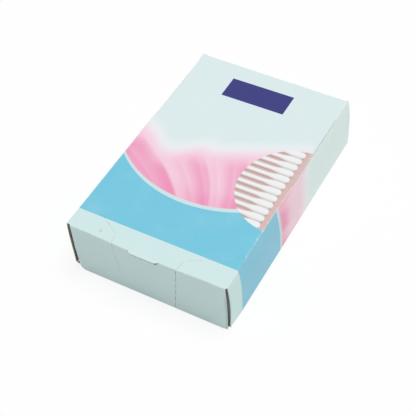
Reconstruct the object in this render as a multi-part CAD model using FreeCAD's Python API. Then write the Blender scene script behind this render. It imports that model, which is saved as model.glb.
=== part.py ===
import FreeCAD, Part
import math
import os

from FreeCAD import Vector

# Sealed folding carton for cotton swabs, lying on its back panel. X is its width, Y its
# length and Z its height. The origin is the centre of the back panel's outer face. The end
# with the thumb tab faces -Y. All sizes are in millimetres.

# Sleeve: front panel, back panel and two side walls
carton_width = 80.0
carton_length = 123.0
carton_height = 28.5
board = 0.45
crease_radius = 0.6

# Side walls: how far each stands out at its crest, at both ends, and at its foot
right_bow_near = 1.0
right_bow_far = 0.95
left_bow_near = 0.1
left_bow_far = 0.5
wall_foot_reach = 0.5
bow_crest_drop = 12.0

# Lap seam: the left wall's outer layer ends a little above the back panel's crease
seam_rise = 0.5

# Dust flaps fold in from the side walls and lean inwards behind the end flaps. The left ones
# hang on the wall's inner layer, whose raw end lies behind the outer layer's.
near_wall_setback = 0.7
far_wall_overhang = 0.2
inner_layer_setback = 1.2
dust_flap_depth = 2.5
dust_flap_slope_run = 1.3

# Inner end flap, hinged on the back panel
inner_flap_side_gap = 1.8
inner_flap_reach = 21.0
inner_flap_corner = 2.5
inner_flap_setback = 1.05

# Outer end flap, hinged on the front panel and leaning out at its foot
outer_flap_left = 38.45
outer_flap_right = 39.2
outer_flap_lean = 1.3
outer_flap_foot = 0.25
outer_flap_taper = 1.8
outer_flap_taper_start = 14.0
outer_flap_left_corner = 3.0
outer_flap_right_corner = 0.9

# Glue spots hold the outer flap's two sides, and leave the lid's tongue free
glue_width = 12.0
glue_height = 13.0
glue_centre_height = 12.5
glue_offset = 26.5

# Thumb tab, cut out of the outer flap and left flat with the front panel
tab_width = 15.2
tab_reach = 1.75
tab_hole_depth = 2.25
tab_taper = 1.6
tab_corner = 1.0
tab_clearance = 0.15

# Tear line of the lid: down the outer flap, across the front panel's corners, along both folds
tongue_half_at_foot = 13.4
tongue_half_at_fold = 15.9
tongue_half_on_front = 17.0
tongue_depth_on_front = 5.2
diagonal_start = 1.2
fold_start = 18.9
hinge_from_far_end = 14.5
fold_line_inset = 0.45
cut_width = 0.2
cut_length = 3.2
nick_length = 1.2
rear_cut_length = 9.4
rear_nick_length = 0.5
rear_cuts_start = 62.5

half_width = carton_width / 2
half_length = carton_length / 2
near_wall_end = -half_length + near_wall_setback
far_wall_end = half_length + far_wall_overhang
root_depth = 3 * dust_flap_depth
beyond = 2 * (outer_flap_lean + tab_reach)

# How far each end's walls stand out at the crest, by side: 1 for right and -1 for left
near_bows = {1: right_bow_near, -1: left_bow_near}
far_bows = {1: right_bow_far, -1: left_bow_far}


def bezier(*poles):
    curve = Part.BezierCurve()
    curve.setPoles(list(poles))
    return curve.toShape()


def line(start, end):
    return Part.LineSegment(start, end).toShape()


def arc(start, middle, end):
    return Part.Arc(start, middle, end).toShape()


def polygon(points):
    return Part.makePolygon(points + [points[0]])


def edges_along_y(shape, x, z):
    """The shape's edges that run along Y at the given place in the XZ plane."""
    found = []
    for edge in shape.Edges:
        box = edge.BoundBox
        if box.YLength > board and abs(box.Center.x - x) < board and abs(box.Center.z - z) < board:
            found.append(edge)
    return found


def wall_curves(side, y, bows, foot, inset=0):
    """A side wall's two curves, below and above its crest, where both are upright."""
    crest = carton_height - bow_crest_drop
    top_x = side * (half_width - inset)
    crest_x = side * (half_width + bows[side] - inset)
    foot_x = side * (half_width + wall_foot_reach - inset)
    lower = bezier(
        Vector(foot_x, y, foot),
        Vector(crest_x, y, (foot + crest) / 2),
        Vector(crest_x, y, crest),
    )
    upper = bezier(
        Vector(crest_x, y, crest),
        Vector(crest_x, y, (crest + carton_height) / 2),
        Vector(top_x, y, carton_height),
    )
    return lower, upper


def sleeve_outline(y, bows):
    """The carton's XZ outline at one end, with the lap seam's step at the lower left."""
    seam_x = -half_width + board
    right_lower, right_upper = wall_curves(1, y, bows, 0)
    left_lower, left_upper = wall_curves(-1, y, bows, seam_rise)
    seam_foot = Vector(seam_x, y, 0)
    seam_top = Vector(seam_x, y, seam_rise)
    return Part.Wire([
        line(seam_foot, right_lower.Vertexes[0].Point),
        right_lower,
        right_upper,
        line(right_upper.Vertexes[-1].Point, left_upper.Vertexes[-1].Point),
        left_upper,
        left_lower,
        line(left_lower.Vertexes[0].Point, seam_top),
        line(seam_top, seam_foot),
    ])


def is_crease(edge):
    """True for a long crease and for the upright crease between a wall and its dust flap."""
    box = edge.BoundBox
    at_side = abs(box.Center.x) > half_width - board / 2
    is_long = box.YLength > carton_length / 2
    is_seam = box.Center.x < 0 and box.ZMax < seam_rise + board
    is_at_crest = abs(box.Center.z - carton_height + bow_crest_drop) < board and is_long
    is_upright = box.ZLength > 2 * crease_radius and box.Center.x > 0
    return at_side and not is_seam and not is_at_crest and (is_long or is_upright)


def make_sleeve():
    near = sleeve_outline(near_wall_end, near_bows)
    far = sleeve_outline(far_wall_end, far_bows)
    block = Part.makeLoft([near, far], True, True)
    creases = [edge for edge in block.Edges if is_crease(edge)]
    return block.makeFillet(crease_radius, creases)


def between_walls(bows):
    """The space between the side walls' inner faces, along the near end, open below."""
    y = -half_length - beyond
    right_lower, right_upper = wall_curves(1, y, bows, 0, board)
    left_lower, left_upper = wall_curves(-1, y, bows, 0, board)
    right_foot = right_lower.Vertexes[0].Point
    left_foot = left_lower.Vertexes[0].Point
    down = Vector(0, 0, -beyond)
    outline = Part.Wire([
        line(right_foot + down, right_foot),
        right_lower,
        right_upper,
        line(right_upper.Vertexes[-1].Point, left_upper.Vertexes[-1].Point),
        left_upper,
        left_lower,
        line(left_foot, left_foot + down),
        line(left_foot + down, right_foot + down),
    ])
    return Part.Face(outline).extrude(Vector(0, beyond + root_depth, 0))


def end_recess(wall_end, bows):
    """The space in front of the near end's leaning dust flaps, open above for the outer flap."""
    mouth = half_width + max(wall_foot_reach, bows[1], bows[-1])
    floor_half = half_width - board - dust_flap_slope_run
    front_y = -half_length - beyond
    floor_y = -half_length + dust_flap_depth
    corners = [
        Vector(-mouth, front_y, -beyond),
        Vector(mouth, front_y, -beyond),
        Vector(mouth, wall_end, -beyond),
        Vector(floor_half, floor_y, -beyond),
        Vector(-floor_half, floor_y, -beyond),
        Vector(-mouth, wall_end + inner_layer_setback, -beyond),
    ]
    behind_flaps = Part.Face(polygon(corners)).extrude(Vector(0, 0, beyond + carton_height - board))
    start = Vector(-outer_flap_left, front_y, carton_height - crease_radius)
    width = outer_flap_left + outer_flap_right
    above = Part.makeBox(width, beyond + crease_radius, beyond, start)
    return behind_flaps.common(between_walls(bows)).fuse(above)


def make_inner_flap():
    """Stands up from the back panel on its crease, with both free corners cut off."""
    half = half_width - inner_flap_side_gap
    outer_y = -half_length + inner_flap_setback
    back_y = -half_length + root_depth
    bend = outer_y + crease_radius
    slant = crease_radius * (1 - math.sqrt(0.5))
    profile = Part.Wire([
        line(Vector(-half, back_y, 0), Vector(-half, bend, 0)),
        arc(
            Vector(-half, bend, 0),
            Vector(-half, outer_y + slant, slant),
            Vector(-half, outer_y, crease_radius),
        ),
        line(Vector(-half, outer_y, crease_radius), Vector(-half, outer_y, inner_flap_reach)),
        line(Vector(-half, outer_y, inner_flap_reach), Vector(-half, back_y, inner_flap_reach)),
        line(Vector(-half, back_y, inner_flap_reach), Vector(-half, back_y, 0)),
    ])
    flap = Part.Face(profile).extrude(Vector(2 * half, 0, 0))
    corners = edges_along_y(flap, -half, inner_flap_reach)
    corners += edges_along_y(flap, half, inner_flap_reach)
    return flap.makeChamfer(inner_flap_corner, corners)


def behind_outer_face(inset, foot):
    """All that lies behind the outer flap's face, moved inwards by the inset, down to a foot."""
    x = -outer_flap_left
    top = carton_height - inset
    bend = -half_length + crease_radius
    face = -half_length + inset
    crease_foot = carton_height - crease_radius
    slant = (crease_radius - inset) * math.sqrt(0.5)
    back = -half_length + root_depth
    lean_y = face - outer_flap_lean
    profile = Part.Wire([
        line(Vector(x, back, top), Vector(x, bend, top)),
        arc(
            Vector(x, bend, top),
            Vector(x, bend - slant, crease_foot + slant),
            Vector(x, face, crease_foot),
        ),
        bezier(
            Vector(x, face, crease_foot),
            Vector(x, face, (crease_foot + foot) / 2),
            Vector(x, lean_y, foot),
        ),
        line(Vector(x, lean_y, foot), Vector(x, back, foot)),
        line(Vector(x, back, foot), Vector(x, back, top)),
    ])
    return Part.Face(profile).extrude(Vector(outer_flap_left + outer_flap_right, 0, 0))


def outer_flap_front():
    """The outer flap's XZ outline as a deep prism: left edge tapered, lower corners rounded."""
    y = -half_length - beyond
    taper_z = carton_height - outer_flap_taper_start
    foot_x = -outer_flap_left + outer_flap_taper
    corners = [
        Vector(-outer_flap_left, y, carton_height),
        Vector(-outer_flap_left, y, taper_z),
        Vector(foot_x, y, outer_flap_foot),
        Vector(outer_flap_right, y, outer_flap_foot),
        Vector(outer_flap_right, y, carton_height),
    ]
    prism = Part.Face(polygon(corners)).extrude(Vector(0, beyond + root_depth, 0))
    left_corner = edges_along_y(prism, foot_x, outer_flap_foot)
    prism = prism.makeFillet(outer_flap_left_corner, left_corner)
    right_corner = edges_along_y(prism, outer_flap_right, outer_flap_foot)
    return prism.makeFillet(outer_flap_right_corner, right_corner)


def make_outer_flap():
    """The leaning sheet on the front panel's crease, with its two glue spots behind it."""
    envelope = behind_outer_face(0, outer_flap_foot)
    behind = behind_outer_face(board, outer_flap_foot - beyond)
    sheet = envelope.cut(behind).common(outer_flap_front())
    spots = [glue_spot(side).common(envelope) for side in (-1, 1)]
    return sheet.multiFuse(spots)


def glue_spot(side):
    corner = Vector(
        side * glue_offset - glue_width / 2,
        -half_length - beyond,
        glue_centre_height - glue_height / 2,
    )
    depth = beyond + inner_flap_setback + board / 2
    return Part.makeBox(glue_width, depth, glue_height, corner)


def tab_outline(reach, grow):
    """XY outline of the thumb tab, wider by the amount given, from inside the fold line."""
    base = tab_width / 2 + grow
    tip = base - tab_taper
    tip_y = -half_length - reach - grow
    inside = -half_length + crease_radius
    return polygon([
        Vector(-base, inside, 0),
        Vector(-base, -half_length, 0),
        Vector(-tip, tip_y, 0),
        Vector(tip, tip_y, 0),
        Vector(base, -half_length, 0),
        Vector(base, inside, 0),
    ])


def make_tab():
    plate = Part.Face(tab_outline(tab_reach, 0)).extrude(Vector(0, 0, board))
    plate.translate(Vector(0, 0, carton_height - board))
    tip_y = -half_length - tab_reach
    tips = []
    for edge in plate.Edges:
        is_upright = edge.BoundBox.ZLength > board / 2
        if is_upright and abs(edge.BoundBox.Center.y - tip_y) < board / 2:
            tips.append(edge)
    return plate.makeFillet(tab_corner, tips)


def tab_cutout():
    """The tab's hole in the outer flap: the same outline, turned down about the fold line."""
    outline = Part.Face(tab_outline(tab_hole_depth, tab_clearance))
    outline.rotate(Vector(0, -half_length, 0), Vector(1, 0, 0), 90)
    outline.translate(Vector(0, -beyond, carton_height))
    return outline.extrude(Vector(0, beyond + crease_radius, 0))


def slot_along(start, end, depth, outward):
    """One knife cut between two points, as deep as given, seen along the outward axis."""
    across = (end - start).cross(outward)
    across.normalize()
    side = across * (cut_width / 2)
    lift = outward * depth
    base = [start + side + lift, end + side + lift, end - side + lift, start - side + lift]
    return Part.Face(polygon(base)).extrude(outward * (-2 * depth))


def tear_cuts(start, end, cut, nick, depth, outward):
    """Cuts and nicks from start to end, evenly spread so that the line starts with a cut."""
    length = (end - start).Length
    count = max(1, round((length + nick) / (cut + nick)))
    pitch = (length + nick) / count
    along = (end - start) * (1 / length)
    cuts = []
    for i in range(count):
        cut_start = start + along * (i * pitch)
        cut_end = cut_start + along * (pitch - nick)
        cuts.append(slot_along(cut_start, cut_end, depth, outward))
    return cuts


def flap_tear_cuts(side):
    """The tongue's edge on the outer flap. The cuts go through the flap and stop in its gap."""
    outward = Vector(0, -1, 0)
    y = -half_length - outer_flap_lean / 2
    foot = Vector(side * tongue_half_at_foot, y, outer_flap_foot - nick_length)
    top = Vector(side * tongue_half_at_fold, y, carton_height - crease_radius)
    depth = outer_flap_lean / 2 + board
    return tear_cuts(foot, top, cut_length, nick_length, depth, outward)


def front_tear_cuts(side):
    """The tear line on the front panel: a short start, a long diagonal and the side fold."""
    outward = Vector(0, 0, 1)
    top = carton_height
    fold_x = side * (half_width - fold_line_inset)
    start = Vector(side * tongue_half_at_fold, -half_length + crease_radius, top)
    turn = Vector(side * tongue_half_on_front, -half_length + tongue_depth_on_front, top)
    corner = Vector(fold_x, -half_length + fold_start, top)
    rear = Vector(fold_x, -half_length + rear_cuts_start, top)
    hinge = Vector(fold_x, half_length - hinge_from_far_end, top)
    diagonal = corner - turn
    diagonal.normalize()
    after_turn = turn + diagonal * diagonal_start
    away = Vector(0, nick_length, 0)
    cuts = [slot_along(start, turn, board, outward)]
    cuts += tear_cuts(after_turn, corner, cut_length, nick_length, board, outward)
    cuts += tear_cuts(corner + away, rear, cut_length, nick_length, board, outward)
    cuts += tear_cuts(rear + away, hinge, rear_cut_length, rear_nick_length, board, outward)
    return cuts


def make_closure():
    """One sealed end, at -Y: the inner flap and the outer flap glued over it."""
    return make_outer_flap().fuse(make_inner_flap())


def mirrored_to_far_end(shape):
    return shape.mirror(Vector(0, 0, 0), Vector(0, 1, 0))


def make_carton():
    near_recess = end_recess(near_wall_end, near_bows)
    far_recess = mirrored_to_far_end(end_recess(-far_wall_end, far_bows))
    sleeve = make_sleeve().cut([near_recess, far_recess])
    closure = make_closure()
    carton = sleeve.multiFuse([closure, mirrored_to_far_end(closure)])
    carton = carton.cut(tab_cutout()).fuse(make_tab())
    cuts = []
    for side in (-1, 1):
        cuts += flap_tear_cuts(side)
        cuts += front_tear_cuts(side)
    return carton.cut(cuts).removeSplitter()


os.makedirs("parts", exist_ok=True)
carton = make_carton()
print("solids", len(carton.Solids), "valid", carton.isValid(), "volume", round(carton.Volume), "mm3")
carton.Solids[0].exportStep("parts/carton.step")
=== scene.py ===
import math

import bpy
import numpy as np
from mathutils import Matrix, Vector
from mathutils.geometry import delaunay_2d_cdt


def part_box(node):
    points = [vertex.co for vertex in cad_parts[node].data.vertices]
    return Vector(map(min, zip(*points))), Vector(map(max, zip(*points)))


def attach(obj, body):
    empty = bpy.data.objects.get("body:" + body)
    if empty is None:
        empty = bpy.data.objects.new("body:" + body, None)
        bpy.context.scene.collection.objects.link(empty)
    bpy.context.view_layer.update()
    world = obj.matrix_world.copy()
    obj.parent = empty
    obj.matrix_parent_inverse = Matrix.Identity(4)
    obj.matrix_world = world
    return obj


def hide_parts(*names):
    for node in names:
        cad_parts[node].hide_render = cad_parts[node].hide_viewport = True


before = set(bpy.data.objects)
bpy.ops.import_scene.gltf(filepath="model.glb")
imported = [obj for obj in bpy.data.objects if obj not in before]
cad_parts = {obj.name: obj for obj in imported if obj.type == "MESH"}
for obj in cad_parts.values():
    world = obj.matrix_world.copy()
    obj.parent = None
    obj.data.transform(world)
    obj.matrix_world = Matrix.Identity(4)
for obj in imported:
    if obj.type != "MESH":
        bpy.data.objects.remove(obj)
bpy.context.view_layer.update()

# The box is folded here from its flat blank of printed board. A point of the blank is (u, v) in
# millimetres: u runs round the box from the middle of the front panel, to the right and down,
# and v runs along it from the end with the thumb tab, at -v, to the far end. The flaps at both
# ends lie beyond the panels, as on the uncut sheet. The left wall has two layers: the outer one
# hangs from the front panel and has no dust flaps, and the inner one stands on the back panel.

MM = 0.001
CAD_LOW, CAD_HIGH = [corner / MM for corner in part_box("carton")]

# Sizes of the folded box
WIDTH = 80.0
HEIGHT = CAD_HIGH.z
TAB_REACH = 1.75
HALF_LENGTH = -CAD_LOW.y - TAB_REACH
BOARD = 0.45
CREASE = 0.45
NEAR_WALL_END = HALF_LENGTH - 0.7
FAR_WALL_END = HALF_LENGTH + 0.2
SEAM_RISE = 0.5
LAP_GAP = 0.2

# Side walls: how far each stands out at its crest, at the near and far end, and at its foot
BOW_CREST = HEIGHT - 12.0
RIGHT_BOW = (1.0, 0.95)
LEFT_BOW = (0.5, 0.5)
FOOT_REACH = 0.5

# The right wall's near lower corner, pressed in more and more between two values of -v
CORNER_PRESS = 0.5
CORNER_PRESS_HEIGHT = 12.0
CORNER_PRESS_RUN = (52.0, 60.0)

# Long creases of the front panel, pulled in a little. Each pull starts and ends over a run of v,
# and the right one loses only a share of itself.
RIGHT_PULL = 0.45
RIGHT_PULL_START = (-58.0, -44.0)
RIGHT_PULL_END = (4.0, 26.0)
RIGHT_PULL_LOSS = 0.6
LEFT_PULL = 0.5
LEFT_PULL_START = (8.0, 24.0)
LEFT_PULL_END = (55.0, HALF_LENGTH)

# End creases of the front panel, which stand out a little beyond a straight fold
NEAR_BULGE_RIGHT = 0.35
NEAR_BULGE_RIGHT_RUN = (-32.0, 20.0)
NEAR_BULGE_MIDDLE = 0.45
NEAR_BULGE_MIDDLE_RUN = (10.0, 30.0)
FAR_BULGE = 0.15
FAR_SKEW = -0.75
BULGE_RUN = 10.5

# Outer end flaps, which lean out at the foot. Edge points are (u, drop below the crease).
FLAP_LEAN = 1.3
FLAP_FOOT = 0.25
OUTER_LEFT = -37.95
OUTER_RIGHT = 39.45
LEFT_TAPER = (-37.8, 14.0)
LEFT_TIP = -36.5
LEFT_CORNER = 3.5
RIGHT_CORNER = 0.4
EDGE_CURL = 0.5
EDGE_CURL_RUN = 1.6
EDGE_CURL_DROP = 12.0

# Inner end flaps and dust flaps
INNER_HALF = 38.2
INNER_REACH = 21.0
INNER_CORNER = 2.5
INNER_SETBACK = 1.05
DUST_GAP = 0.4
DUST_REACH = 22.0
DUST_CREASE = 0.3
DUST_STEEP_RUN = 2.0
DUST_STEEP = math.radians(50)
DUST_LEAN = math.radians(3)
INNER_WALL_SETBACK = 1.3
SLIT = 0.16

# Thumb tab
TAB_HALF = 7.6
TAB_TAPER = 1.6
TAB_CORNER = 1.0
TAB_CLEARANCE = 0.15
TAB_HOLE_DEPTH = 1.85

# Stations of u round the section: ends of the flat panels and of the creases between them
HALF_WIDTH = WIDTH / 2
FLAT = HALF_WIDTH - CREASE
TURN = CREASE * math.pi / 2
WALL_TOP = FLAT + TURN
WALL_FOOT = WALL_TOP + HEIGHT - 2 * CREASE
BACK_START = WALL_FOOT + TURN
BACK_MIDDLE = BACK_START + FLAT
BACK_END = BACK_MIDDLE + FLAT - BOARD - LAP_GAP
INNER_WALL_FOOT = BACK_END + TURN
INNER_WALL_TOP = INNER_WALL_FOOT + HEIGHT - 2 * BOARD - CREASE - LAP_GAP
LEFT_EDGE = -(WALL_TOP + HEIGHT - CREASE - SEAM_RISE)

# Stations of |v|: where the end creases begin, and where the flaps end
FRONT_FOLD = HALF_LENGTH - CREASE
FLAP_DROP = HEIGHT - CREASE - FLAP_FOOT
FLAP_END = FRONT_FOLD + TURN + FLAP_DROP
BACK_FOLD = HALF_LENGTH - INNER_SETBACK - CREASE
INNER_END = BACK_FOLD + TURN + INNER_REACH - CREASE
DUST_TURN = DUST_CREASE * (math.pi / 2 + DUST_STEEP)

# The lid's tear line, from the tongue's foot to the hinge
TONGUE_FOOT = (13.4, -FLAP_END)
TONGUE_LOWER = (14.2, -FLAP_END + 9.0)
TONGUE_FOLD = (16.15, -FRONT_FOLD - TURN / 2)
TONGUE_FRONT = (17.0, -HALF_LENGTH + 5.2)
FOLD_U = FLAT + TURN / 2
FOLD_START = (FOLD_U, -HALF_LENGTH + 18.2)
REAR_START = (FOLD_U, -HALF_LENGTH + 62.5)
HINGE = (FOLD_U, HALF_LENGTH - 14.5)

# Each stretch of the tear line: start, end, cut, nick and the cut's width, right side then left
TEAR_LINE = {
    1: [
        (TONGUE_FOOT, TONGUE_FOLD, 3.4, 1.3, 0.20),
        (TONGUE_FOLD, TONGUE_FRONT, 5.0, 0.4, 0.08),
        (TONGUE_FRONT, FOLD_START, 3.1, 1.5, 0.07),
        (FOLD_START, REAR_START, 2.9, 1.13, 0.04),
        (REAR_START, HINGE, 9.0, 0.4, 0.15),
    ],
    -1: [
        (TONGUE_FOOT, TONGUE_LOWER, 1.0, 2.0, 0.04),
        (TONGUE_LOWER, TONGUE_FOLD, 6.6, 0.5, 0.10),
        (TONGUE_FOLD, TONGUE_FRONT, 5.0, 0.4, 0.08),
        (TONGUE_FRONT, FOLD_START, 3.1, 1.5, 0.08),
        (FOLD_START, REAR_START, 2.9, 1.13, 0.04),
        (REAR_START, HINGE, 9.0, 0.4, 0.12),
    ],
}

# Spacing of the nicks that show along the right fold, and where the last one ends
NICK_STEP = 5.1
NICK_LAST_V = -22.0

# Spacing of the mesh's rows, and the width of the worn rim along cut edges
ROW_STEP = 2.5
CREASE_ROWS = 6
CLEAR_OF_EDGE = 0.09
WEAR_RIM = 0.3


def ease(value, low, high):
    """0 below low and 1 above high, with a soft step between."""
    share = np.clip((value - low) / (high - low), 0, 1)
    return share * share * (3 - 2 * share)


def wall_reach(z, v, bow):
    """How far a side wall stands out at height z, v along the box."""
    share = np.clip((v + HALF_LENGTH) / (2 * HALF_LENGTH), 0, 1)
    at_crest = bow[0] + (bow[1] - bow[0]) * share
    upper = at_crest * (1 - ((z - BOW_CREST) / (HEIGHT - BOW_CREST)) ** 2)
    lower = at_crest + (FOOT_REACH - at_crest) * ((BOW_CREST - z) / BOW_CREST) ** 2
    return np.where(z > BOW_CREST, upper, lower)


def sideways(x, z, v, across):
    """How far a point is moved outwards: bowed walls, pulled creases, pressed corner."""
    right = wall_reach(z, v, RIGHT_BOW)
    left = wall_reach(z, v, LEFT_BOW)
    right_pull = RIGHT_PULL * ease(v, *RIGHT_PULL_START)
    right_pull *= 1 - RIGHT_PULL_LOSS * ease(v, *RIGHT_PULL_END)
    left_pull = LEFT_PULL * ease(v, *LEFT_PULL_START) * (1 - ease(v, *LEFT_PULL_END))
    reach = np.where(x > 0, right, left) * np.clip(np.abs(x) / HALF_WIDTH, 0, 1)
    pull = np.where(x > 0, right_pull, left_pull) * across ** 6 * np.clip(z / HEIGHT, 0, 1) ** 4
    press = CORNER_PRESS * ease(-v, *CORNER_PRESS_RUN)
    press *= np.clip(1 - z / CORNER_PRESS_HEIGHT, 0, 1)
    return reach - pull - np.where(x > 0, press, 0) * across


def section(u, v):
    """x and z of the board's outer face round the box, before the ends are folded."""
    a = np.abs(u)
    top = (a - FLAT) / CREASE
    foot = (a - WALL_FOOT) / CREASE
    seam = (a - BACK_END) / CREASE
    on_wall = (a <= WALL_FOOT) | (u < 0)
    stretches = [
        a <= FLAT,
        a <= WALL_TOP,
        on_wall,
        a <= BACK_START,
        a <= BACK_END,
        a <= INNER_WALL_FOOT,
    ]
    inset = BOARD + LAP_GAP
    xs = [
        a,
        FLAT + CREASE * np.sin(top),
        HALF_WIDTH + 0 * a,
        FLAT + CREASE * np.cos(foot),
        BACK_MIDDLE - a,
        inset - FLAT - CREASE * np.sin(seam),
    ]
    zs = [
        HEIGHT + 0 * a,
        HEIGHT - CREASE + CREASE * np.cos(top),
        HEIGHT - CREASE - (a - WALL_TOP),
        CREASE - CREASE * np.sin(foot),
        0 * a,
        CREASE - CREASE * np.cos(seam),
    ]
    x = np.select(stretches, xs, inset - HALF_WIDTH)
    z = np.select(stretches, zs, CREASE + (a - INNER_WALL_FOOT))
    x = np.where(u < 0, -x, x)
    return x + np.sign(x) * sideways(x, z, v, np.clip(a / FLAT, 0, 1)), z


def flap_masks(u, v):
    """Which kind of end flap each point of the blank folds with: outer, dust or inner."""
    outer = (u > OUTER_LEFT - SLIT / 2) & (u < OUTER_RIGHT + SLIT / 2)
    edge = DUST_GAP - SLIT / 2
    on_right = (u > WALL_TOP + edge) & (u < WALL_FOOT - edge)
    on_left = (u > INNER_WALL_FOOT + edge) & (u < INNER_WALL_TOP - edge)
    inner = np.abs(u - BACK_MIDDLE) < INNER_HALF + SLIT / 2
    return outer, on_right | on_left, inner


def fold_bulge(u, v):
    """How far the front panel stands out beyond a straight fold at its ends."""
    a = np.abs(v)
    near = NEAR_BULGE_RIGHT * ease(u, *NEAR_BULGE_RIGHT_RUN)
    near += NEAR_BULGE_MIDDLE * (1 - ease(np.abs(u), *NEAR_BULGE_MIDDLE_RUN))
    far = FAR_BULGE + FAR_SKEW * u / HALF_WIDTH
    side = 1 - ease(np.abs(u), FLAT - 0.2, WALL_TOP)
    return np.where(v < 0, near, far) * side * ease(a, HALF_LENGTH - BULGE_RUN, FRONT_FOLD)


def folded(u, v, masks):
    """Places on the board's outer face in the folded box, for points of the blank."""
    outer, dust, inner = masks
    end = np.sign(v)
    a = np.abs(v)
    x, z = section(u, v)
    y = v.copy()

    # Outer flaps: round the front panel's crease, then down, leaning out more and more
    over = np.where(outer, a - FRONT_FOLD, -1)
    angle = np.clip(over / CREASE, 0, math.pi / 2)
    drop = np.clip(over - TURN, 0, None)
    lean = FLAP_LEAN * (drop / FLAP_DROP) ** 2
    to_edge = (u - OUTER_RIGHT + EDGE_CURL_RUN) / EDGE_CURL_RUN
    curl = EDGE_CURL * np.clip(to_edge, 0, 1) ** 2 * np.clip(drop / EDGE_CURL_DROP, 0, 1)
    y = np.where(over > 0, end * (FRONT_FOLD + CREASE * np.sin(angle) + lean - curl), y)
    y += end * fold_bulge(u, v) * (1 - np.clip(drop / FLAP_DROP, 0, 1))
    z = np.where(over > 0, z - CREASE * (1 - np.cos(angle)) - drop, z)

    # Inner flaps: round the back panel's crease, then straight up
    over = np.where(inner, a - BACK_FOLD, -1)
    angle = np.clip(over / CREASE, 0, math.pi / 2)
    rise = np.clip(over - TURN, 0, None)
    y = np.where(over > 0, end * (BACK_FOLD + CREASE * np.sin(angle)), y)
    z = np.where(over > 0, z + CREASE * (1 - np.cos(angle)) + rise, z)

    # Dust flaps: round the wall's upright crease, steeply inwards, then behind the end flaps
    setback = np.where(u > INNER_WALL_FOOT, INNER_WALL_SETBACK, 0)
    root = np.where(v > 0, FAR_WALL_END, NEAR_WALL_END) - DUST_CREASE - setback
    over = np.where(dust, a - root, -1)
    angle = np.clip(over / DUST_CREASE, 0, DUST_TURN / DUST_CREASE)
    steep = np.clip(over - DUST_TURN, 0, DUST_STEEP_RUN)
    rest = np.clip(over - DUST_TURN - DUST_STEEP_RUN, 0, None)
    inwards = DUST_CREASE * (1 - np.cos(angle))
    inwards += steep * math.cos(DUST_STEEP) + rest * math.cos(DUST_LEAN)
    behind = steep * math.sin(DUST_STEEP) + rest * math.sin(DUST_LEAN)
    x = np.where(over > 0, x - np.sign(x) * inwards, x)
    y = np.where(over > 0, end * (root + DUST_CREASE * np.sin(angle) - behind), y)
    return np.stack([x, y, z], 1)


def unfolded(u, v, masks):
    """Places in the plane of the panel that each point belongs to, as for the thumb tab."""
    x, z = section(u, v)
    to_tip = np.clip((np.abs(v) - HALF_LENGTH) / TAB_REACH, 0, 1)
    y = v + np.sign(v) * fold_bulge(u, v) * (1 - to_tip)
    return np.stack([x, y, z], 1)


def normals_of(place, u, v):
    """Unit normals of a surface given as a function of (u, v), from its slopes."""
    step = 0.01
    across = place(u + step, v) - place(u - step, v)
    along = place(u, v + step) - place(u, v - step)
    normal = np.cross(across, along)
    return normal / np.linalg.norm(normal, axis=1, keepdims=True)


def ripple(u, v):
    """Slight waves of the board, in millimetres inwards, none at the creases."""
    a = np.abs(u)
    wall_middle = (WALL_TOP + WALL_FOOT) / 2
    front = a / FLAT
    wall = np.abs(a - wall_middle) / (HEIGHT / 2)
    back = np.abs(u - BACK_MIDDLE) / FLAT
    across = np.select([a < HALF_WIDTH, a < BACK_START], [front, wall], back)
    calm = (1 - np.clip(across, 0, 1) ** 4) * (1 - np.clip(np.abs(v) / HALF_LENGTH, 0, 1) ** 8)
    broad = 0.10 + 0.05 * np.sin(u / 17 + 0.6) * np.cos(v / 23 - 0.4)
    fine = 0.012 * np.sin(u / 5.1 + v / 9.7) + 0.010 * np.sin(v / 6.3 - u / 11.9 + 1.3)
    return (broad + fine) * calm


def inside_loops(points, starts, ends):
    """For each point, True if it is inside the loops that these edges make together."""
    inside = np.zeros(len(points), bool)
    for (u0, v0), (u1, v1) in zip(starts, ends):
        if v0 == v1:
            continue
        between = (points[:, 1] >= min(v0, v1)) & (points[:, 1] < max(v0, v1))
        at = u0 + (points[:, 1] - v0) * (u1 - u0) / (v1 - v0)
        inside ^= between & (points[:, 0] < at)
    return inside


def distance_to_edges(points, starts, ends):
    nearest = np.full(len(points), 1e9)
    for start, end in zip(starts, ends):
        run = end - start
        share = np.clip((points - start) @ run / max(run @ run, 1e-12), 0, 1)
        gap = np.linalg.norm(points - start - share[:, None] * run, axis=1)
        nearest = np.minimum(nearest, gap)
    return nearest


def spaced(start, end, step=ROW_STEP):
    """Even stations strictly between start and end."""
    return np.linspace(start, end, max(2, round(abs(end - start) / step)) + 1)[1:-1]


def crease_stations(start, length):
    return start + length * np.linspace(0, 1, CREASE_ROWS)


def u_stations():
    """Rows of points along the box: even ones, and close ones in the long creases."""
    rows = [
        spaced(-FLAT, FLAT),
        spaced(WALL_TOP, WALL_FOOT),
        spaced(LEFT_EDGE, -WALL_TOP),
        spaced(BACK_START, BACK_END),
        spaced(INNER_WALL_FOOT, INNER_WALL_TOP),
        crease_stations(FLAT, TURN),
        -crease_stations(FLAT, TURN),
        crease_stations(WALL_FOOT, TURN),
        crease_stations(BACK_END, TURN),
    ]
    return np.unique(np.round(np.concatenate(rows), 4))


def v_stations():
    """Rows of points across the box: even ones, and close ones in the end creases."""
    rows = [spaced(-BACK_FOLD, BACK_FOLD)]
    for side, wall_end in ((-1, NEAR_WALL_END), (1, FAR_WALL_END)):
        rows += [
            side * crease_stations(FRONT_FOLD, TURN),
            side * crease_stations(BACK_FOLD, TURN),
            side * crease_stations(wall_end - DUST_CREASE, DUST_TURN),
            side * crease_stations(wall_end - DUST_CREASE - INNER_WALL_SETBACK, DUST_TURN),
            side * spaced(FRONT_FOLD + TURN, FLAP_END),
        ]
    return np.unique(np.round(np.concatenate(rows), 4))


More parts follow.
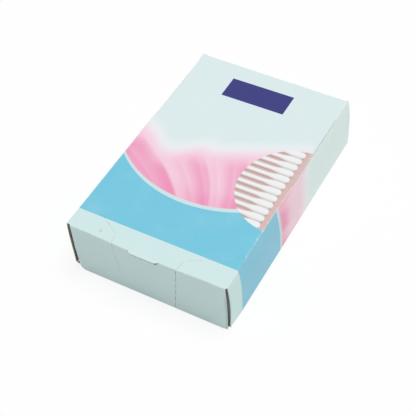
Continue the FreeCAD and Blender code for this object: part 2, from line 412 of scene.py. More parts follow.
U_STATIONS = u_stations()
V_STATIONS = v_stations()
LATTICE = np.stack([grid.ravel() for grid in np.meshgrid(U_STATIONS, V_STATIONS)], 1)


def with_row_points(loop):
    """The loop with a point wherever it crosses a row, none closer than a twentieth of a mm."""
    result = []
    for start, end in zip(loop, loop[1:] + loop[:1]):
        start, end = np.array(start, float), np.array(end, float)
        length = np.linalg.norm(end - start)
        shares = [0.0]
        for axis, stations in enumerate((U_STATIONS, V_STATIONS)):
            span = end[axis] - start[axis]
            if abs(span) > 1e-6:
                shares += list((stations - start[axis]) / span)
        last = -1.0
        for share in sorted(share for share in shares if 0 <= share < 1):
            near_last = (share - last) * length < 0.05
            near_end = share > 0 and (1 - share) * length < 0.05
            if not near_last and not near_end:
                result.append(tuple(start + share * (end - start)))
                last = share
    return result


def rim_points(loops):
    """Points just inside the loops, which end the worn rim of the print."""
    points = []
    for loop in loops:
        corners = np.array(loop)
        run = np.roll(corners, -1, axis=0) - np.roll(corners, 1, axis=0)
        run /= np.maximum(np.linalg.norm(run, axis=1, keepdims=True), 1e-9)
        across = np.stack([-run[:, 1], run[:, 0]], 1)
        points += [corners + across * WEAR_RIM, corners - across * WEAR_RIM]
    return np.concatenate(points)


def uncut(starts, ends):
    """True for edges that only part two pieces of the mesh: the hinge, and the tab's root."""
    along_hinge = (np.abs(starts[:, 1] - HINGE[1]) < 1e-4) & (np.abs(ends[:, 1] - HINGE[1]) < 1e-4)
    on_root = (np.abs(starts[:, 1] + FRONT_FOLD) < 1e-4) & (np.abs(ends[:, 1] + FRONT_FOLD) < 1e-4)
    within = np.maximum(np.abs(starts[:, 0]), np.abs(ends[:, 0])) < TAB_HALF + 1e-4
    return along_hinge | (on_root & within)


def on_tear_line(point):
    """True for a point of a cut edge that belongs to the tear line or to the tab's hole."""
    u, v = abs(point[0]), point[1]
    on_front = u < WALL_TOP and -FRONT_FOLD < v < HINGE[1] + BOARD
    on_tongue = u < TONGUE_FRONT[0] and -FLAP_END + BOARD / 4 < v < -FRONT_FOLD
    return on_front or on_tongue


def fill(loops):
    """Triangles that fill flat loops, and how worn each point is, from 1 at a cut edge to 0."""
    loops = [with_row_points(loop) for loop in loops]
    starts = np.concatenate([np.array(loop) for loop in loops])
    ends = np.concatenate([np.roll(np.array(loop), -1, axis=0) for loop in loops])
    cut = ~uncut(starts, ends)
    rim = rim_points(loops)
    rim = rim[distance_to_edges(rim, starts, ends) > 0.9 * WEAR_RIM]
    grid = LATTICE[distance_to_edges(LATTICE, starts, ends) > CLEAR_OF_EDGE]
    inner = np.concatenate([rim, grid])
    inner = inner[inside_loops(inner, starts, ends)]
    edges = []
    first = 0
    for loop in loops:
        edges += [(first + i, first + (i + 1) % len(loop)) for i in range(len(loop))]
        first += len(loop)
    points = [Vector(point) for point in np.concatenate([starts, inner])]
    result = delaunay_2d_cdt(points, edges, [], 0, 1e-5, False)
    flat = np.array([tuple(point) for point in result[0]])
    triangles = np.array([tuple(face) for face in result[2]])
    triangles = triangles[inside_loops(flat[triangles].mean(axis=1), starts, ends)]
    a, b, c = (flat[triangles[:, i]] for i in range(3))
    turn = (b - a)[:, 0] * (c - a)[:, 1] - (b - a)[:, 1] * (c - a)[:, 0]
    triangles[turn < 0] = triangles[turn < 0][:, ::-1]
    worn = np.clip(1 - distance_to_edges(flat, starts[cut], ends[cut]) / WEAR_RIM, 0, 1)
    return flat, triangles, worn


def rounded(corners, radii, steps=6):
    """The open or closed run of corners, each rounded to its radius, 0 for a sharp one."""
    result = []
    for i, (corner, radius) in enumerate(zip(corners, radii)):
        if radius == 0:
            result.append(corner)
            continue
        here = np.array(corner)
        back = np.array(corners[i - 1]) - here
        onward = np.array(corners[(i + 1) % len(corners)]) - here
        back /= np.linalg.norm(back)
        onward /= np.linalg.norm(onward)
        half = math.acos(np.clip(back @ onward, -1, 1)) / 2
        towards = (back + onward) / np.linalg.norm(back + onward)
        centre = here + towards * radius / math.sin(half)
        start = here + back * radius / math.tan(half) - centre
        sweep = math.pi - 2 * half
        if back[0] * onward[1] - back[1] * onward[0] > 0:
            sweep = -sweep
        for angle in np.linspace(0, sweep, steps):
            turned_u = start[0] * math.cos(angle) - start[1] * math.sin(angle)
            turned_v = start[0] * math.sin(angle) + start[1] * math.cos(angle)
            result.append((centre[0] + turned_u, centre[1] + turned_v))
    return result


def tear_line(side, for_lid):
    """One side of the tear line, foot to hinge, as the edge of the lid or of the rest."""
    points = []
    for start, end, cut, nick, width in TEAR_LINE[side]:
        start = np.array(start) * (side, 1)
        end = np.array(end) * (side, 1)
        length = np.linalg.norm(end - start)
        along = (end - start) / length
        to_lid = np.array([-along[1], along[0]]) * side
        set_back = to_lid * (width / 2 if for_lid else -width / 2)
        count = max(1, round(length / (cut + nick)))
        pitch = length / count
        points.append(tuple(start))
        for i in range(count):
            begin = start + along * (i * pitch + nick / 2)
            stop = start + along * ((i + 1) * pitch - nick / 2)
            points += [tuple(begin), tuple(begin + set_back), tuple(stop + set_back), tuple(stop)]
    points.append((HINGE[0] * side, HINGE[1]))
    return points


def lid_loop():
    return tear_line(1, True) + tear_line(-1, True)[::-1]


def tab_loop(length, grow):
    """The thumb tab, from its root in the front panel round its tip and back."""
    base = TAB_HALF + grow
    tip = base - TAB_TAPER
    reach = -HALF_LENGTH - length - grow
    corners = [
        (-base, -FRONT_FOLD),
        (-base, -HALF_LENGTH),
        (-tip, reach),
        (tip, reach),
        (base, -HALF_LENGTH),
        (base, -FRONT_FOLD),
    ]
    return rounded(corners, [0, 0, TAB_CORNER, TAB_CORNER, 0, 0])


def tab_hole_loop():
    """The tab's hole in the tongue. The tab's own root lies on one side of it."""
    root = [(TAB_HALF, -FRONT_FOLD), (-TAB_HALF, -FRONT_FOLD)]
    return tab_loop(TAB_HOLE_DEPTH, TAB_CLEARANCE) + root


def flap(corners, radii, panel_end, steps=6):
    """One flap's edge, u rising, with a slit at each side: points (u, |v|)."""
    start, root = corners[0]
    end = corners[-1][0]
    before = [(start - SLIT, panel_end), (start - SLIT, root)]
    after = [(end + SLIT, root), (end + SLIT, panel_end)]
    return before + rounded(corners, radii, steps) + after


def square_flap(start, end, root, tip, radii, panel_end, steps=6):
    corners = [(start, root), (start, tip), (end, tip), (end, root)]
    return flap(corners, [0, *radii, 0], panel_end, steps)


def outer_flap(panel_end):
    below = FRONT_FOLD + TURN
    corners = [
        (OUTER_LEFT, FRONT_FOLD),
        (LEFT_TAPER[0], below + LEFT_TAPER[1]),
        (LEFT_TIP, FLAP_END),
        (OUTER_RIGHT, FLAP_END),
        (OUTER_RIGHT, FRONT_FOLD),
    ]
    return flap(corners, [0, 0, LEFT_CORNER, RIGHT_CORNER, 0], panel_end)


def dust_flap(foot, top, wall_end, panel_end):
    root = wall_end - DUST_CREASE
    tip = root + DUST_TURN + DUST_REACH
    return square_flap(foot + DUST_GAP, top - DUST_GAP, root, tip, (5, 5), panel_end)


def end_edge(wall_end):
    """The blank's edge at one end up to and after the outer flap, and that flap: (u, |v|)."""
    inner_end = wall_end - INNER_WALL_SETBACK
    right = dust_flap(WALL_TOP, WALL_FOOT, wall_end, wall_end)
    inner_edges = (BACK_MIDDLE - INNER_HALF, BACK_MIDDLE + INNER_HALF)
    inner_corners = (INNER_CORNER, INNER_CORNER)
    right += square_flap(*inner_edges, BACK_FOLD, INNER_END, inner_corners, wall_end, 2)
    right += [(INNER_WALL_FOOT, wall_end), (INNER_WALL_FOOT, inner_end)]
    right += dust_flap(INNER_WALL_FOOT, INNER_WALL_TOP, inner_end, inner_end)
    right += [(INNER_WALL_TOP, inner_end)]
    return [(LEFT_EDGE, wall_end)], outer_flap(wall_end), right


def tray_loop():
    """All of the blank but the lid: walls, back, flaps, and the front's corners and rear."""
    left, outer, right = end_edge(NEAR_WALL_END)
    near_foot = [i for i, point in enumerate(outer) if abs(point[1] - FLAP_END) < 1e-6]
    before = outer[: near_foot[0] + 1]
    after = outer[near_foot[-1] :]
    near = left + before + ["lid"] + after + right
    loop = []
    for point in near:
        if point == "lid":
            loop += tear_line(-1, False) + tear_line(1, False)[::-1]
        else:
            loop.append((point[0], -point[1]))
    left, outer, right = end_edge(FAR_WALL_END)
    return loop + (left + outer + right)[::-1]


def shell(parts):
    """A board's vertices, corners, print places and normals, from (loops, place) parts."""
    blocks = []
    first = 0
    for loops, place in parts:
        flat, triangles, worn = fill(loops)
        u, v = flat[:, 0], flat[:, 1]
        masks = flap_masks(u, v)

        def waved(u, v):
            base = place(u, v, masks)
            normal = normals_of(lambda s, t: place(s, t, masks), u, v)
            return base - normal * ripple(u, v)[:, None]

        outside = waved(u, v)
        normal = normals_of(waved, u, v)
        inside = outside - normal * BOARD
        blocks.append((flat, triangles + first, worn, outside, inside, normal))
        first += len(flat)
    return [np.concatenate(column) for column in zip(*blocks)]


def board_piece(name, parts, materials):
    """A piece of board with its real thickness: print outside, raw edges and a raw inside."""
    flat, triangles, worn, outside, inside, normal = shell(parts)
    count = len(flat)
    sides = np.sort(triangles[:, [0, 1, 1, 2, 2, 0]].reshape(-1, 2), axis=1)
    pairs, uses = np.unique(sides, axis=0, return_counts=True)
    open_pairs = {tuple(pair) for pair in pairs[uses == 1]}
    rim = []
    rim_kinds = []
    for triangle in triangles:
        for i in range(3):
            a, b = int(triangle[i]), int(triangle[(i + 1) % 3])
            if (min(a, b), max(a, b)) in open_pairs and not uncut(flat[[a]], flat[[b]])[0]:
                rim.append((b, a, a + count, b + count))
                rim_kinds.append(3 if on_tear_line((flat[a] + flat[b]) / 2) else 1)
    faces = [tuple(int(i) for i in t) for t in triangles]
    faces += [tuple(int(i) + count for i in t[::-1]) for t in triangles]
    faces += rim
    mesh = bpy.data.meshes.new(name)
    mesh.from_pydata(np.concatenate([outside, inside]) * MM, [], faces)
    for material in materials:
        mesh.materials.append(material)
    kinds = [0] * len(triangles) + [2] * len(triangles) + rim_kinds
    mesh.polygons.foreach_set("material_index", np.array(kinds, np.int32))
    corners = np.zeros(len(mesh.loops), np.int32)
    mesh.loops.foreach_get("vertex_index", corners)
    prints = mesh.uv_layers.new(name="print")
    prints.uv.foreach_set("vector", np.tile(flat, (2, 1))[corners].astype(np.float32).ravel())
    wear = mesh.attributes.new("worn", "FLOAT", "POINT")
    wear.data.foreach_set("value", np.tile(worn, 2).astype(np.float32))
    mesh.polygons.foreach_set("use_smooth", np.ones(len(faces), bool))
    smooth = np.concatenate([normal, -normal])[corners]
    flat_faces = np.zeros(len(faces) * 3, np.float32)
    mesh.polygons.foreach_get("normal", flat_faces)
    sizes = np.repeat([3, 3, 4], [len(triangles), len(triangles), len(rim)])
    owner = np.repeat(np.arange(len(faces)), sizes)
    is_rim = owner >= 2 * len(triangles)
    smooth[is_rim] = flat_faces.reshape(-1, 3)[owner[is_rim]]
    mesh.normals_split_custom_set(smooth)
    piece = bpy.data.objects.new(name, mesh)
    bpy.context.scene.collection.objects.link(piece)
    return piece


def ink(red, green, blue):
    """A printed colour, given as 0 to 255 on screen, as the linear colour of a shader."""
    linear = []
    for value in (red / 255, green / 255, blue / 255):
        linear.append(value / 12.92 if value <= 0.04045 else ((value + 0.055) / 1.055) ** 2.4)
    return (*linear, 1.0)


class Surface:
    """One material, with short calls for the nodes that it is made of."""

    def __init__(self, name):
        self.material = bpy.data.materials.new(name)
        self.material.use_nodes = True
        self.tree = self.material.node_tree
        self.shader = self.tree.nodes["Principled BSDF"]

    def add(self, kind, output=0, inputs=None, **settings):
        node = self.tree.nodes.new(kind)
        for key, value in settings.items():
            setattr(node, key, value)
        for key, value in (inputs or {}).items():
            self.feed(node.inputs[key], value)
        return node.outputs[output]

    def feed(self, socket, value):
        if isinstance(value, bpy.types.NodeSocket):
            self.tree.links.new(value, socket)
        else:
            socket.default_value = value

    def calc(self, operation, *values):
        inputs = dict(enumerate(values))
        return self.add("ShaderNodeMath", inputs=inputs, operation=operation)

    def smooth(self, value, low, high):
        """0 below low and 1 above high, with a soft step between."""
        inputs = {"Value": value, "From Min": low, "From Max": high}
        return self.add("ShaderNodeMapRange", inputs=inputs, interpolation_type="SMOOTHSTEP")

    def above(self, value, edge, blur=0.12):
        """1 where the value is over the edge, sharp but not jagged."""
        return self.smooth(self.calc("SUBTRACT", value, edge), -blur / 2, blur / 2)

    def between(self, value, low, high, blur=0.12):
        return self.calc("SUBTRACT", self.above(value, low, blur), self.above(value, high, blur))

    def both(self, *masks):
        result = masks[0]
        for mask in masks[1:]:
            result = self.calc("MULTIPLY", result, mask)
        return result

    def over(self, colour, new, mask):
        """The new colour laid over the old one where the mask is 1."""
        inputs = {0: mask, 6: colour, 7: new}
        return self.add("ShaderNodeMix", output=2, inputs=inputs, data_type="RGBA")

    def noise(self, scale, detail=2.0, roughness=0.5, stretch=None, output=0):
        place = self.add("ShaderNodeTexCoord", output="Object")
        if stretch:
            inputs = {"Vector": place, "Scale": stretch}
            place = self.add("ShaderNodeMapping", inputs=inputs)
        inputs = {"Vector": place, "Scale": scale, "Detail": detail, "Roughness": roughness}
        return self.add("ShaderNodeTexNoise", output=output, inputs=inputs)

    def bump(self, height, distance, strength=1.0):
        inputs = {"Height": height, "Distance": distance, "Strength": strength}
        normal = self.add("ShaderNodeBump", inputs=inputs)
        self.feed(self.shader.inputs["Normal"], normal)


# Inks and board colours. The side walls' copies of the inks are lighter: painted light, with a
# painted sheen on the walls' blue.
GROUND = ink(220, 235, 236)
NEAR_GROUND = ink(209, 233, 233)
# Lighter copies of the ground for the side walls: painted light
LIT_WALL_GROUND = ink(227, 244, 241)
LIT_NEAR_WALL_GROUND = ink(210, 237, 233)
BLUE = ink(116, 199, 223)
# The side walls' blue, lighter and greyer: a painted sheen
WALL_BLUE_WITH_SHEEN = ink(134, 204, 226)
BLUE_RIM = ink(206, 228, 233)
DEEP_PINK = ink(238, 146, 187)
PALE_PINK = ink(246, 206, 224)
# Lighter copies of the pinks for the side walls: painted light
LIT_WALL_DEEP_PINK = ink(246, 160, 192)
LIT_WALL_PALE_PINK = ink(250, 216, 227)
GLOW = ink(243, 243, 246)
TAN = ink(214, 184, 180)
TAN_SHADE = ink(186, 152, 146)
SWAB_WHITE = ink(241, 242, 242)
SWAB_SHADE = ink(206, 204, 204)
NAVY = ink(42, 43, 120)
# Whitened board at cracks, nicks and worn cuts; on the creases it also paints a highlight
CRACKED_AND_HIGHLIGHT = ink(238, 240, 236)
# A smudge of dirt, and the painted shade along the near flap's right edge
SMUDGE_AND_SHADE = ink(150, 160, 166)
RAW_EDGE = ink(174, 163, 140)
RAW_INSIDE = ink(178, 171, 150)
TEAR_EDGE = ink(170, 184, 180)

# Layout of the print, in the blank's millimetres
BLUE_START_V = -HALF_LENGTH + 10.5
NEAR_GROUND_RUN = 30.0
ARC_MIDDLE = (-0.5, 30.8)
ARC_RADIUS = 59.5
RIM_WIDTH = 2.0
RIM_TAPER = 0.9
RIM_TAPER_RUN = (-4.0, -44.0)
WALL_BLUE_V = -15.3
WALL_BLUE_SLANT = 1.3
PINK_TOP_V = 4.0
PINK_RISE = 0.45
PINK_RISE_START_U = -2.0
PINK_DIP = 8.0
PINK_DIP_U = -22.0
PINK_DIP_RUN = (1.0, 15.0)
WALL_PINK_TOP_V = 9.5
PINK_FADE = 5.5
GLOW_STRENGTH = 0.8

# Ribbons in the pink field: each fan's turns, sway and phase, and how much each part deepens it
FAN_FOCUS = (27.0, -56.0)
BROAD_FAN = (2.9, 0.04, 0.39)
FINE_FAN = (7.0, 0.03, 0.80)
SWAY_RATE = 0.11
BROAD_SHARE = 0.62
FINE_SHARE = 0.22
LOW_SHARE = 0.30
LOW_SHARE_BESIDE = 0.25
LOW_RUN = (1.0, 15.0)
LIGHTER = -0.05
RIBBON_START = (-12.0, -1.0)
WALL_RIBBON_DROP = 8.0

# Half disc with the swabs, and the plaque
DISC_MIDDLE = (40.5, -2.5)
DISC_RADIUS = 25.0
DISC_EDGE_U = 39.8
DISC_EDGE_SLANT = -0.01
SWAB_PITCH = 4.12
SWAB_ROW_V = -5.35
SWAB_TIP_U = 37.3
COTTON_FOOT_U = 26.0
COTTON_FULL_U = 32.0
STICK_HALF = 1.05
COTTON_HALF = 2.0
PLAQUE = (-17.35, 15.6, HALF_LENGTH - 21.7, HALF_LENGTH - 9.0)
SMUDGE_PLACE = (-24.0, -57.9)
SMUDGE_RUN = (0.2, 1.3)
# Where the painted shade along the near flap's right edge sets in, down the flap
EDGE_SHADE_RUN = (-FRONT_FOLD - 3, -FRONT_FOLD - 9)

# How strongly marks show: the creases' painted highlight on whitened print, nicks, a smudge, the
# painted shade along the near flap's right edge, and wear along cuts on top and at the side
CREASE_WEAR_AND_HIGHLIGHT = 0.35
INKED_CREASE_WEAR_AND_HIGHLIGHT = 0.12
NICK_WEAR = 0.5
SMUDGE_STRENGTH = 0.35
EDGE_SHADE_STRENGTH = 0.45
CUT_WEAR = 0.3
SIDE_WEAR = 0.65


def distance(s, u, v, middle):
    """Distance on the blank from a point of the print."""
    to_u = s.calc("SUBTRACT", u, middle[0])
    to_v = s.calc("SUBTRACT", v, middle[1])
    squares = s.calc("ADD", s.calc("MULTIPLY", to_u, to_u), s.calc("MULTIPLY", to_v, to_v))
    return s.calc("SQRT", squares)


def blue_depth(s, u, v, reach):
    """How far a point lies above the blue field's upper edge, in millimetres."""
    below_middle = s.calc("MINIMUM", v, ARC_MIDDLE[1])
    on_front = s.calc("SUBTRACT", ARC_RADIUS, distance(s, u, below_middle, ARC_MIDDLE))
    share = s.smooth(reach, HALF_WIDTH, BACK_START)
    edge = s.calc("MULTIPLY_ADD", share, WALL_BLUE_SLANT, WALL_BLUE_V)
    on_wall = s.calc("SUBTRACT", v, edge)
    side = s.above(reach, HALF_WIDTH, 0.6)
    past = s.calc("MULTIPLY", side, s.calc("SUBTRACT", on_wall, on_front))
    return s.calc("ADD", on_front, past)


def ribbons(s, u, v, turns, sway, phase):
    """A fan of soft overlapping ribbons: 0 to 1 across each, then quickly back to 0."""
    to_u = s.calc("SUBTRACT", u, FAN_FOCUS[0])
    to_v = s.calc("SUBTRACT", v, FAN_FOCUS[1])
    wave = s.calc("SINE", s.calc("MULTIPLY_ADD", v, SWAY_RATE, phase))
    angle = s.calc("MULTIPLY_ADD", wave, sway, s.calc("ARCTAN2", to_u, to_v))
    part = s.calc("FRACT", s.calc("MULTIPLY_ADD", angle, turns, phase))
    falling = s.calc("SUBTRACT", 1.0, s.smooth(part, 0.88, 1.0))
    return s.both(s.smooth(part, 0.0, 0.85), falling)


def swabs(s, u, v):
    """A level row of swabs, side by side, on a tan ground."""
    row = s.calc("DIVIDE", s.calc("SUBTRACT", v, SWAB_ROW_V), SWAB_PITCH)
    off = s.calc("MULTIPLY", s.calc("SUBTRACT", row, s.calc("ROUND", row)), SWAB_PITCH)
    away = s.calc("ABSOLUTE", off)
    swell = s.smooth(u, COTTON_FOOT_U, COTTON_FULL_U)
    half = s.calc("MULTIPLY_ADD", swell, COTTON_HALF - STICK_HALF, STICK_HALF)
    to_tip = s.calc("DIVIDE", s.calc("SUBTRACT", u, SWAB_TIP_U - COTTON_HALF), COTTON_HALF)
    to_tip = s.calc("MAXIMUM", to_tip, 0.0)
    left_over = s.calc("SUBTRACT", 1.0, s.calc("MULTIPLY", to_tip, to_tip))
    half = s.calc("MULTIPLY", half, s.calc("SQRT", s.calc("MAXIMUM", left_over, 0.0)))
    body = s.above(s.calc("SUBTRACT", half, away), 0.0, 0.3)
    shade = s.smooth(s.calc("DIVIDE", off, s.calc("MULTIPLY", half, -1.0)), 0.1, 1.1)
    low = s.smooth(s.calc("MULTIPLY", off, -1.0), 0.6, 1.9)
    ground = s.over(TAN, TAN_SHADE, s.both(low, s.above(SWAB_TIP_U, u, 0.8)))
    paint = s.over(SWAB_WHITE, SWAB_SHADE, shade)
    return s.over(ground, paint, body)


def printed_board():
    """The outer face: inks on smooth white board, with a satin varnish, and painted light: lighter
    side walls with a sheen on the blue, highlights on the creases, and shade along the near flap's
    right edge.
    """
    s = Surface("printed_board")
    place = s.add("ShaderNodeUVMap", uv_map="print")
    split = {"Vector": place}
    u = s.add("ShaderNodeSeparateXYZ", output=0, inputs=split)
    v = s.add("ShaderNodeSeparateXYZ", output=1, inputs=split)
    reach = s.calc("ABSOLUTE", u)
    above_blue = blue_depth(s, u, v, reach)
    beside = s.smooth(reach, HALF_WIDTH - 5, HALF_WIDTH + 5)

    # Pale ground, a little greener before the blue field, and lighter on the side walls, where the
    # light is painted in
    side = s.above(reach, HALF_WIDTH, 0.6)
    near_ground = s.over(NEAR_GROUND, LIT_NEAR_WALL_GROUND, side)
    far_ground = s.over(GROUND, LIT_WALL_GROUND, side)
    to_far = s.smooth(v, BLUE_START_V, BLUE_START_V + NEAR_GROUND_RUN)
    colour = s.over(near_ground, far_ground, to_far)

    # Pink field: a fan of soft ribbons above the blue one, fading upwards through a pale glow
    past_start = s.calc("MAXIMUM", s.calc("SUBTRACT", u, PINK_RISE_START_U), 0.0)
    rise = s.calc("MULTIPLY_ADD", past_start, PINK_RISE, PINK_TOP_V)
    from_dip = s.calc("ABSOLUTE", s.calc("SUBTRACT", u, PINK_DIP_U))
    in_dip = s.calc("SUBTRACT", 1.0, s.smooth(from_dip, *PINK_DIP_RUN))
    dip = s.calc("MULTIPLY", in_dip, PINK_DIP)
    on_top = s.calc("SUBTRACT", rise, dip)
    on_side = s.calc("MULTIPLY", beside, s.calc("SUBTRACT", WALL_PINK_TOP_V, on_top))
    climb = s.calc("SUBTRACT", v, s.calc("ADD", on_top, on_side))
    is_above = s.above(above_blue, 0.0)
    glow = s.both(s.calc("SUBTRACT", 1.0, s.smooth(climb, 0.0, 2 * PINK_FADE)), is_above)
    colour = s.over(colour, GLOW, s.calc("MULTIPLY", glow, GLOW_STRENGTH))
    field = s.both(s.calc("SUBTRACT", 1.0, s.smooth(climb, -PINK_FADE, PINK_FADE)), is_above)
    # On the side walls the pale pink is a lighter copy: painted light
    colour = s.over(colour, s.over(PALE_PINK, LIT_WALL_PALE_PINK, side), field)
    broad = ribbons(s, u, v, *BROAD_FAN)
    fine = ribbons(s, u, v, *FINE_FAN)
    low = s.calc("SUBTRACT", 1.0, s.smooth(above_blue, *LOW_RUN))
    depth = s.calc("MULTIPLY_ADD", fine, FINE_SHARE, LIGHTER)
    depth = s.calc("MULTIPLY_ADD", broad, BROAD_SHARE, depth)
    low_share = s.calc("MULTIPLY_ADD", beside, LOW_SHARE_BESIDE, LOW_SHARE)
    depth = s.calc("MAXIMUM", s.calc("MULTIPLY_ADD", low, low_share, depth), 0.0)
    ribbon_climb = s.calc("MULTIPLY_ADD", beside, WALL_RIBBON_DROP, climb)
    started = s.calc("SUBTRACT", 1.0, s.smooth(ribbon_climb, *RIBBON_START))
    # On the side walls the deep pink is a lighter copy: painted light
    deep = s.over(DEEP_PINK, LIT_WALL_DEEP_PINK, side)
    colour = s.over(colour, deep, s.both(depth, field, started))

    # Blue field and its pale rim
    taper = s.calc("MULTIPLY", s.smooth(u, *RIM_TAPER_RUN), RIM_TAPER)
    rim_end = s.calc("SUBTRACT", RIM_WIDTH, taper)
    colour = s.over(colour, BLUE_RIM, s.between(above_blue, 0.0, rim_end, 0.25))
    blue = s.both(s.above(v, BLUE_START_V), s.above(0.0, above_blue))
    # On the side walls the blue is a lighter, greyer copy: a painted sheen
    colour = s.over(colour, s.over(BLUE, WALL_BLUE_WITH_SHEEN, side), blue)

    # Half disc with a row of swabs at the front panel's right edge
    disc_edge = s.calc("MULTIPLY_ADD", v, DISC_EDGE_SLANT, DISC_EDGE_U)
    within = s.above(DISC_RADIUS, distance(s, u, v, DISC_MIDDLE))
    disc = s.both(within, s.above(disc_edge, u, 0.3))
    is_inked = s.calc("MAXIMUM", blue, within)
    colour = s.over(colour, swabs(s, u, v), disc)

    # Cloudy ink
    cloud = s.smooth(s.noise(70.0, 3.0), 0.45, 0.8)
    colour = s.over(colour, ink(255, 255, 255), s.calc("MULTIPLY", cloud, 0.05))

    # Bare plaque
    left, right, low, high = PLAQUE
    plaque = s.both(s.between(u, left, right), s.between(v, low, high))
    colour = s.over(colour, NAVY, plaque)

    # Lighter creases, a painted highlight on whitened, cracked print; nicks; a smudge; painted
    # shade along the near flap's right edge; and cracked print along the cuts
    along = s.calc("ABSOLUTE", v)
    at_end_fold = s.between(along, FRONT_FOLD - 0.1, FRONT_FOLD + TURN, 0.5)
    end_fold = s.both(at_end_fold, s.above(HALF_WIDTH, reach))
    at_long_fold = s.between(reach, FLAT - 0.1, WALL_TOP + 0.1, 0.4)
    long_fold = s.both(at_long_fold, s.above(HALF_LENGTH, along))
    patchy = s.smooth(s.noise(300.0, 3.0), 0.3, 0.7)
    fold = s.both(s.calc("MAXIMUM", end_fold, long_fold), patchy)
    inked_fold = s.calc("MULTIPLY", long_fold, is_inked)
    crease = s.calc("MULTIPLY_ADD", inked_fold, INKED_CREASE_WEAR_AND_HIGHLIGHT - CREASE_WEAR_AND_HIGHLIGHT, CREASE_WEAR_AND_HIGHLIGHT)
    # Painted highlight along the creases, laid over whitened, cracked print
    colour = s.over(colour, CRACKED_AND_HIGHLIGHT, s.both(fold, crease))
    part = s.calc("FRACT", s.calc("DIVIDE", s.calc("SUBTRACT", v, NICK_LAST_V), NICK_STEP))
    nick = s.both(s.above(part, 0.82, 0.1), s.between(reach, FLAT - 0.15, FLAT + TURN, 0.2))
    nick = s.both(nick, s.between(v, FOLD_START[1], NICK_LAST_V), s.above(u, 0.0))
    colour = s.over(colour, CRACKED_AND_HIGHLIGHT, s.both(nick, patchy, NICK_WEAR))
    spot = s.calc("SUBTRACT", 1.0, s.smooth(distance(s, u, v, SMUDGE_PLACE), *SMUDGE_RUN))
    colour = s.over(colour, SMUDGE_AND_SHADE, s.calc("MULTIPLY", spot, SMUDGE_STRENGTH))
    # Painted shade: darker along the near flap's right edge, further down the flap
    at_edge = s.smooth(u, OUTER_RIGHT - EDGE_CURL_RUN, OUTER_RIGHT)
    edge_shade = s.both(at_edge, s.above(OUTER_RIGHT, u), s.smooth(v, *EDGE_SHADE_RUN))
    colour = s.over(colour, SMUDGE_AND_SHADE, s.calc("MULTIPLY", edge_shade, EDGE_SHADE_STRENGTH))
    worn = s.add("ShaderNodeAttribute", output="Fac", attribute_name="worn")
    speckle = s.smooth(s.noise(1400.0, 2.0), 0.40, 0.62)
    at_side = s.above(reach, FLAT - 1.0, 1.0)
    how_much = s.calc("MULTIPLY_ADD", at_side, SIDE_WEAR - CUT_WEAR, CUT_WEAR)
    colour = s.over(colour, CRACKED_AND_HIGHLIGHT, s.both(worn, speckle, how_much))
    s.feed(s.shader.inputs["Base Color"], colour)

    rough = s.calc("MULTIPLY_ADD", s.noise(900.0, 3.0), 0.16, 0.38)
    s.feed(s.shader.inputs["Roughness"], rough)
    s.shader.inputs["Specular IOR Level"].default_value = 0.35
    s.bump(s.noise(2200.0, 3.0, 0.6), 0.00003)
    return s.material


def raw_board(name, colour, dark):
    """Bare fibrous board: the cut edges, and the grey inside."""
    s = Surface(name)
    fibres = s.noise(1500.0, 4.0, 0.65, stretch=(1.0, 1.0, 3.0))
    mottle = s.noise(220.0, 3.0)
    shade = s.over(colour, dark, s.smooth(fibres, 0.3, 0.75))
    shade = s.over(shade, colour, s.calc("MULTIPLY", s.smooth(mottle, 0.4, 0.7), 0.5))
    s.feed(s.shader.inputs["Base Color"], shade)
    s.shader.inputs["Roughness"].default_value = 0.92
    s.shader.inputs["Specular IOR Level"].default_value = 0.2
    s.bump(fibres, 0.00006)
    return s.material


BOARD_MATERIALS = [
    printed_board(),
    raw_board("raw_edge", RAW_EDGE, ink(150, 139, 118)),
    raw_board("raw_inside", RAW_INSIDE, ink(150, 143, 124)),
    raw_board("tear_edge", TEAR_EDGE, ink(132, 144, 140)),
]

lid = board_piece(
    "flip_lid",
    [([lid_loop(), tab_hole_loop()], folded), ([tab_loop(TAB_REACH, 0)], unfolded)],
    BOARD_MATERIALS,
)
tray = board_piece("carton_tray", [([tray_loop()], folded)], BOARD_MATERIALS)

for piece in (lid, tray):
    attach(piece, "root")
    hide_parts("carton")


# Floor, light and camera

FLOOR_SIZE = 3.0
FLOOR_DROP = 0.0001
SKY = 0.42
SUN_POWER = 1.83
SUN_SPREAD = math.radians(35)
SUN_FROM = (0.18, 0.21, 1.0)
FLOOR_GLOW = 0.86


def white_where_seen(tree, shader, white, share=1.0):
    """The shader, but white in this share to the camera and in mirror or glass."""
    path = tree.nodes.new("ShaderNodeLightPath")
    seen = path.outputs["Is Camera Ray"]
    for ray in ("Is Glossy Ray", "Is Transmission Ray"):
        either = tree.nodes.new("ShaderNodeMath")
        either.operation = "MAXIMUM"
        tree.links.new(seen, either.inputs[0])
        tree.links.new(path.outputs[ray], either.inputs[1])
        seen = either.outputs[0]
    part = tree.nodes.new("ShaderNodeMath")
    part.operation = "MULTIPLY"
    part.inputs[1].default_value = share
    tree.links.new(seen, part.inputs[0])
    mix = tree.nodes.new("ShaderNodeMixShader")
    tree.links.new(part.outputs[0], mix.inputs[0])
    tree.links.new(shader, mix.inputs[1])
    tree.links.new(white, mix.inputs[2])
    return mix.outputs[0]


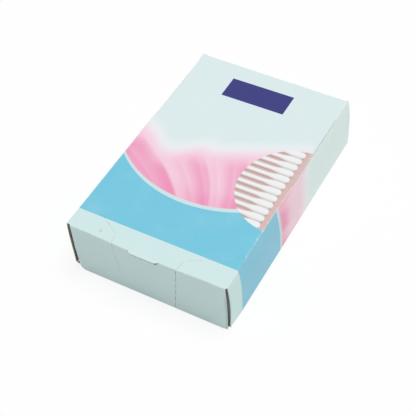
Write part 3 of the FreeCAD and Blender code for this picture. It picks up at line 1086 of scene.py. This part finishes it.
def make_world():
    world = bpy.data.worlds.new("studio")
    world.use_nodes = True
    tree = world.node_tree
    light = tree.nodes["Background"]
    light.inputs["Color"].default_value = (1, 1, 1, 1)
    light.inputs["Strength"].default_value = SKY
    white = tree.nodes.new("ShaderNodeBackground")
    white.inputs["Color"].default_value = (1, 1, 1, 1)
    output = tree.nodes["World Output"]
    tree.links.new(white_where_seen(tree, light.outputs[0], white.outputs[0]), output.inputs[0])
    bpy.context.scene.world = world


def make_floor():
    """A white floor that keeps the box's soft shadow."""
    mesh = bpy.data.meshes.new("floor")
    half = FLOOR_SIZE / 2
    corners = [(-half, -half), (half, -half), (half, half), (-half, half)]
    mesh.from_pydata([(x, y, -FLOOR_DROP) for x, y in corners], [], [(0, 1, 2, 3)])
    material = bpy.data.materials.new("floor")
    material.use_nodes = True
    tree = material.node_tree
    shader = tree.nodes["Principled BSDF"]
    shader.inputs["Base Color"].default_value = (0.95, 0.95, 0.95, 1)
    shader.inputs["Roughness"].default_value = 0.9
    glow = tree.nodes.new("ShaderNodeEmission")
    output = tree.nodes["Material Output"]
    lit = white_where_seen(tree, shader.outputs[0], glow.outputs[0], FLOOR_GLOW)
    tree.links.new(lit, output.inputs[0])
    mesh.materials.append(material)
    floor = bpy.data.objects.new("floor", mesh)
    bpy.context.scene.collection.objects.link(floor)


def make_sun():
    data = bpy.data.lights.new("softbox", "SUN")
    data.energy = SUN_POWER
    data.angle = SUN_SPREAD
    sun = bpy.data.objects.new("softbox", data)
    sun.rotation_euler = Vector(SUN_FROM).to_track_quat("Z", "Y").to_euler()
    bpy.context.scene.collection.objects.link(sun)


def make_camera():
    data = bpy.data.cameras.new("camera")
    data.lens = 86.3314
    data.sensor_width = 36.0
    camera = bpy.data.objects.new("camera", data)
    camera.location = (0.168993, -0.264304, 0.359274)
    camera.rotation_euler = [math.radians(a) for a in (40.6036, 3.8726, 28.9371)]
    bpy.context.scene.collection.objects.link(camera)
    bpy.context.scene.camera = camera


make_world()
make_floor()
make_sun()
make_camera()
bpy.context.scene.view_settings.view_transform = "Standard"
